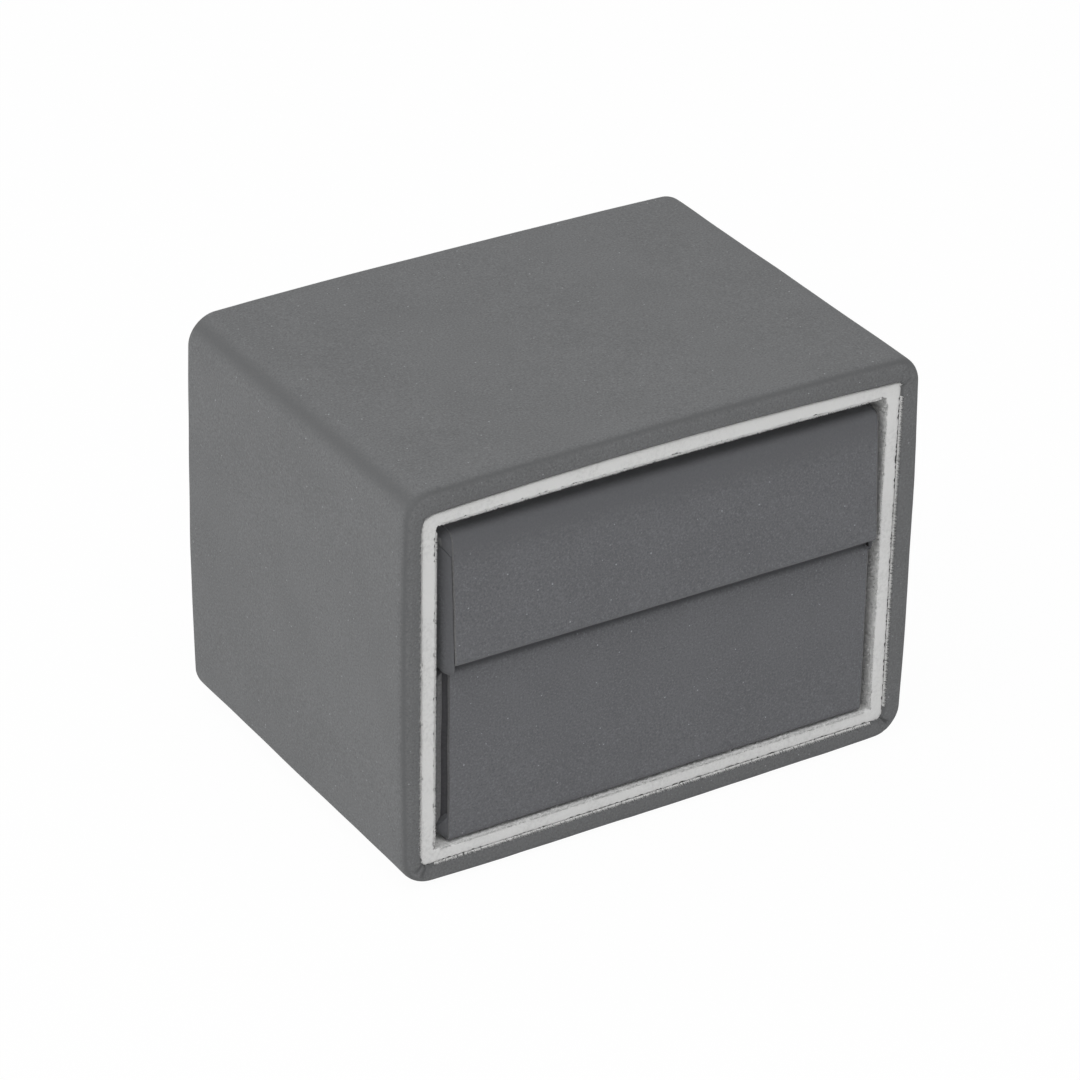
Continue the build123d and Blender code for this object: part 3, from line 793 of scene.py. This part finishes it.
class RINGBOX_OT_covers(bpy.types.Operator):
    """Nubuck sheets of the ring box: fronts, flanks and backs, with paler cut edges"""

    bl_idname = "ringbox.covers"
    bl_label = "Cover sheets"

    def execute(self, context):
        for half, body in (("lid", "lid"), ("box", "ring_box")):
            glued_sheet(half + "_cover", body, "cover_nubuck", lambda n: abs(n.x) > 0.9)
            for side in ("left", "right"):
                glued_sheet(f"{half}_flank_{side}", body, "cover_nubuck", lambda n: abs(n.x) < 0.3)
        glued_sheet("sleeve_bottom_sheet", "sleeve", "wrap_nubuck", lambda n: abs(n.z) < 0.5)
        glued_sheet("sleeve_back_sheet", "sleeve", "wrap_nubuck", lambda n: abs(n.y) < 0.5)
        return {"FINISHED"}


def crowned(node, pull, crown, corner, down=False):
    """Foam pad inside its solid's box: crowned face, corners drawn in, its base flat."""
    low, high = box_mm(node)
    size, middle = high - low, (high + low) / 2
    bm = bmesh.new()
    bmesh.ops.create_cube(bm, size=1)
    bmesh.ops.subdivide_edges(bm, edges=bm.edges[:], cuts=23, use_grid_fill=True)
    for v in bm.verts:
        u, w = 2 * v.co.x, 2 * v.co.y
        top = v.co.z + 0.5 if not down else 0.5 - v.co.z  # 0 at the base, 1 at the crowned face
        squarish = max(0.0, 1 - abs(u) ** 6) ** 0.5 * max(0.0, 1 - abs(w) ** 6) ** 0.5
        bulge = 1 - crown * (1 - squarish) * top
        inward = 1 - pull * (1 - math.sin(math.pi * (0.25 + 0.5 * top))) * 0.5
        x = u * inward * (1 - corner * abs(w) ** 4 / size.x)
        y = w * inward * (1 - corner * abs(u) ** 4 / size.y)
        rise = top * bulge
        z = low.z + size.z * rise if not down else high.z - size.z * rise
        v.co = Vector((middle.x + x * size.x / 2, middle.y + y * size.y / 2, z))
    return bm


class RINGBOX_OT_pads(bpy.types.Operator):
    """Foam rolls that hold the ring, and the satin pad inside the lid"""

    bl_idname = "ringbox.pads"
    bl_label = "Pads"

    def execute(self, context):
        for name in ("ring_pad_front", "ring_pad_rear"):
            bm = crowned(name, 0.02, 0.22, 0.6)
            uneven(bm, 0.12, 9.0, 2.0)
            self.pad(name, bm, "velvet", "ring_box", 0.95)
        bm = crowned("lid_pad", 0.03, 0.4, 1.2, down=True)
        bm.normal_update()
        low, high = box_mm("lid_pad")
        reach = (high - low) / 2
        for v in bm.verts:
            x, y = v.co.x / reach.x, (v.co.y - (low.y + high.y) / 2) / reach.y
            edge = max(abs(x), abs(y))
            along = y if abs(x) > abs(y) else x
            # gathers of the satin, deeper towards the seam, and none at the very edge
            ripple = math.sin(46 * along + 3 * wave(v.co.x, v.co.y, 0, 9, 1.0))
            gather = 0.16 * ripple * edge**3 * (1.04 - edge) * 6
            if v.co.z < high.z - 0.4:
                v.co.z += gather + 0.05 * wave(v.co.x, v.co.y, 0, 6, 5.0)
        self.pad("lid_pad", bm, "satin", "lid", 0.7)
        return {"FINISHED"}

    def pad(self, node, bm, slot, body, fill):
        piece = put(node + "_padded", bm, slot, body, node)
        fine = piece.modifiers.new("fine", "SUBSURF")
        fine.levels = fine.render_levels = 1


class RINGBOX_OT_linings(bpy.types.Operator):
    """Velvet-covered card inside the ring box and its lid, and the plush card at the sleeve's back"""

    bl_idname = "ringbox.linings"
    bl_label = "Linings"

    def execute(self, context):
        for node, body, slot in (
            ("inner_frame", "ring_box", "velvet"),
            ("lid_lining", "lid", "velvet"),
            ("plush_back", "sleeve", "plush"),
        ):
            bm = copy_of(node)
            cut_grid(bm, (1.5, 1.5, 1.5))
            uneven(bm, 0.05, 4.0, 3.3)
            piece = put(node + "_pile", bm, slot, body, node)
            piece.data.set_sharp_from_angle(angle=math.radians(40))
            rounded = piece.modifiers.new("soft_corners", "BEVEL")
            rounded.width = 0.3 * MM
            rounded.segments = 3
            rounded.limit_method = "ANGLE"
            rounded.angle_limit = math.radians(50)
        return {"FINISHED"}


def length_property(name, description, default, low, high):
    """Length that a user can change, given here in millimetres."""
    return bpy.props.FloatProperty(
        name=name,
        description=description,
        default=default * MM,
        min=low * MM,
        max=high * MM,
        precision=5,
        subtype="DISTANCE",
        unit="LENGTH",
    )


def colour_property(name, description, default):
    """Colour that a user can change, given here as an sRGB hex colour."""
    return bpy.props.FloatVectorProperty(
        name=name,
        description=description,
        default=linear(default),
        size=4,
        min=0.0,
        max=1.0,
        subtype="COLOR",
    )


class RINGBOX_PG_sleeve(bpy.types.PropertyGroup):
    """Sizes of the sleeve's soft front"""

    nose: length_property("Nose", "Radius of the padded front edge", 1.4, 0.5, 2.0)
    step: length_property("Step", "Spacing of the wrap's mesh", 1.6, 0.5, 5.0)
    pile_recess: length_property("Pile recess", "Plush face behind the sleeve's front", 0.4, 0.0, 1.5)


class RINGBOX_PG_colours(bpy.types.PropertyGroup):
    """Colours of the cloths and hides"""

    sleeve: colour_property("Sleeve", "Nubuck round the sleeve", "#767778")
    ring_box: colour_property("Ring box", "Nubuck on the ring box and its lid", "#727376")
    plush: colour_property("Plush", "Tips of the pile that lines the sleeve", "#ededec")
    velvet: colour_property("Velvet", "Lining and ring pads of the ring box", "#8e8e90")
    satin: colour_property("Satin", "Pad inside the lid", "#dcdcda")


class RINGBOX_OT_stage(bpy.types.Operator):
    """Camera, soft lights and a white floor"""

    bl_idname = "ringbox.stage"
    bl_label = "Stage"

    def execute(self, context):
        scene = context.scene
        scene.view_settings.view_transform = "Standard"
        azimuth, elevation = math.radians(CAMERA_AZIMUTH), math.radians(CAMERA_ELEVATION)
        back = Vector(
            (
                math.sin(azimuth) * math.cos(elevation),
                -math.cos(azimuth) * math.cos(elevation),
                math.sin(elevation),
            )
        )
        right = Vector((0, 0, 1)).cross(back).normalized()
        up = back.cross(right)
        roll = Matrix.Rotation(math.radians(CAMERA_ROLL), 3, back)
        right, up = roll @ right, roll @ up
        turn = Matrix((right, up, back)).transposed().to_4x4()
        camera = bpy.data.cameras.new("camera")
        camera.sensor_width = CAMERA_SENSOR
        camera.lens = CAMERA_LENS
        camera.clip_end = 10.0
        eye = bpy.data.objects.new("camera", camera)
        eye.matrix_world = Matrix.Translation(Vector(CAMERA_PLACE) * MM) @ turn
        scene.collection.objects.link(eye)
        scene.camera = eye
        self.light_world(scene)
        self.lamp(scene, "top_softbox", (-0.25, -0.25, 0.9), 0.7, 3.9)
        self.lamp(scene, "left_softbox", (-0.95, 0.1, 0.45), 0.6, 1.9)
        self.floor(scene)
        return {"FINISHED"}

    def light_world(self, scene):
        """Even studio light all round, white where it is seen."""
        world = bpy.data.worlds.new("studio")
        world.use_nodes = True
        tree = world.node_tree
        shade = tree.nodes["Background"]
        shade.inputs["Color"].default_value = linear("#ffffff")
        strength = add_node(
            tree, "ShaderNodeMapRange", {"Value": self.seen(tree)}, in_To_Min=0.41, in_To_Max=1.0
        )
        tree.links.new(strength.outputs[0], shade.inputs["Strength"])
        scene.world = world

    def seen(self, tree):
        """1 for rays that show the background: the camera's, off metal and through glass."""
        path = add_node(tree, "ShaderNodeLightPath")
        shown = path.outputs["Is Camera Ray"]
        for kind in ("Is Glossy Ray", "Is Transmission Ray"):
            either = add_node(
                tree, "ShaderNodeMath", {0: shown, 1: path.outputs[kind]}, operation="MAXIMUM"
            )
            shown = either.outputs[0]
        return shown

    def lamp(self, scene, name, place, size, power):
        """Square softbox that faces the object."""
        data = bpy.data.lights.new(name, "AREA")
        data.shape = "SQUARE"
        data.size = size
        data.energy = power
        lamp = bpy.data.objects.new(name, data)
        aim = Vector((0, 0, 0.03)) - Vector(place)
        turn = aim.to_track_quat("-Z", "Y").to_matrix().to_4x4()
        lamp.matrix_world = Matrix.Translation(place) @ turn
        scene.collection.objects.link(lamp)

    def floor(self, scene):
        """Seamless white floor that keeps a faint shadow of the object."""
        bm = bmesh.new()
        bmesh.ops.create_grid(bm, x_segments=4, y_segments=4, size=3.0)
        mesh = bpy.data.meshes.new("floor")
        bm.to_mesh(mesh)
        bm.free()
        floor = bpy.data.objects.new("floor", mesh)
        floor.location.z = -0.0002
        scene.collection.objects.link(floor)
        made, tree, shader = new_material("floor_paper")
        shader.inputs["Base Color"].default_value = linear("#ffffff")
        shader.inputs["Roughness"].default_value = 0.9
        white = add_node(tree, "ShaderNodeEmission", in_Color=linear("#ffffff"), in_Strength=1.0)
        share = add_node(tree, "ShaderNodeMapRange", {"Value": self.seen(tree)}, in_To_Max=0.97)
        mixed = add_node(
            tree,
            "ShaderNodeMixShader",
            {0: share.outputs[0], 1: shader.outputs[0], 2: white.outputs[0]},
        )
        tree.links.new(mixed.outputs[0], tree.nodes["Material Output"].inputs["Surface"])
        mesh.materials.append(made)


class RINGBOX_OT_rigid(bpy.types.Operator):
    """All finishes, and the rigid parts that keep their CAD shape"""

    bl_idname = "ringbox.rigid"
    bl_label = "Rigid parts"

    def execute(self, context):
        make_materials(context.scene.ringbox_colours)
        for row in frame["record"]["subparts"]:
            node = frame["nodes"][row["node"]]
            node.data.materials.clear()
            node.data.materials.append(MATERIALS[row["material_slot"]])
        return {"FINISHED"}


class RINGBOX_PT_panel(bpy.types.Panel):
    bl_idname = "RINGBOX_PT_panel"
    bl_label = "Ring box"
    bl_space_type = "VIEW_3D"
    bl_region_type = "UI"
    bl_category = "Ring box"

    def draw(self, context):
        column = self.layout.column()
        for group in (context.scene.ringbox_sleeve, context.scene.ringbox_colours):
            for name in group.bl_rna.properties.keys():
                if name not in ("rna_type", "name"):
                    column.prop(group, name)
        for step in STEPS:
            column.operator(step.bl_idname)


GROUPS = (RINGBOX_PG_sleeve, RINGBOX_PG_colours)
STEPS = (
    RINGBOX_OT_rigid,
    RINGBOX_OT_wrap,
    RINGBOX_OT_plush,
    RINGBOX_OT_covers,
    RINGBOX_OT_pads,
    RINGBOX_OT_linings,
    RINGBOX_OT_stage,
)
CLASSES = GROUPS + STEPS + (RINGBOX_PT_panel,)


def register():
    for each in CLASSES:
        bpy.utils.register_class(each)
    bpy.types.Scene.ringbox_sleeve = bpy.props.PointerProperty(type=RINGBOX_PG_sleeve)
    bpy.types.Scene.ringbox_colours = bpy.props.PointerProperty(type=RINGBOX_PG_colours)


def unregister():
    del bpy.types.Scene.ringbox_colours
    del bpy.types.Scene.ringbox_sleeve
    for each in reversed(CLASSES):
        bpy.utils.unregister_class(each)


def main():
    register()
    bpy.ops.ringbox.rigid()
    bpy.ops.ringbox.wrap()
    bpy.ops.ringbox.plush()
    bpy.ops.ringbox.covers()
    bpy.ops.ringbox.pads()
    bpy.ops.ringbox.linings()
    bpy.ops.ringbox.stage()


if __name__ == "__main__":
    main()
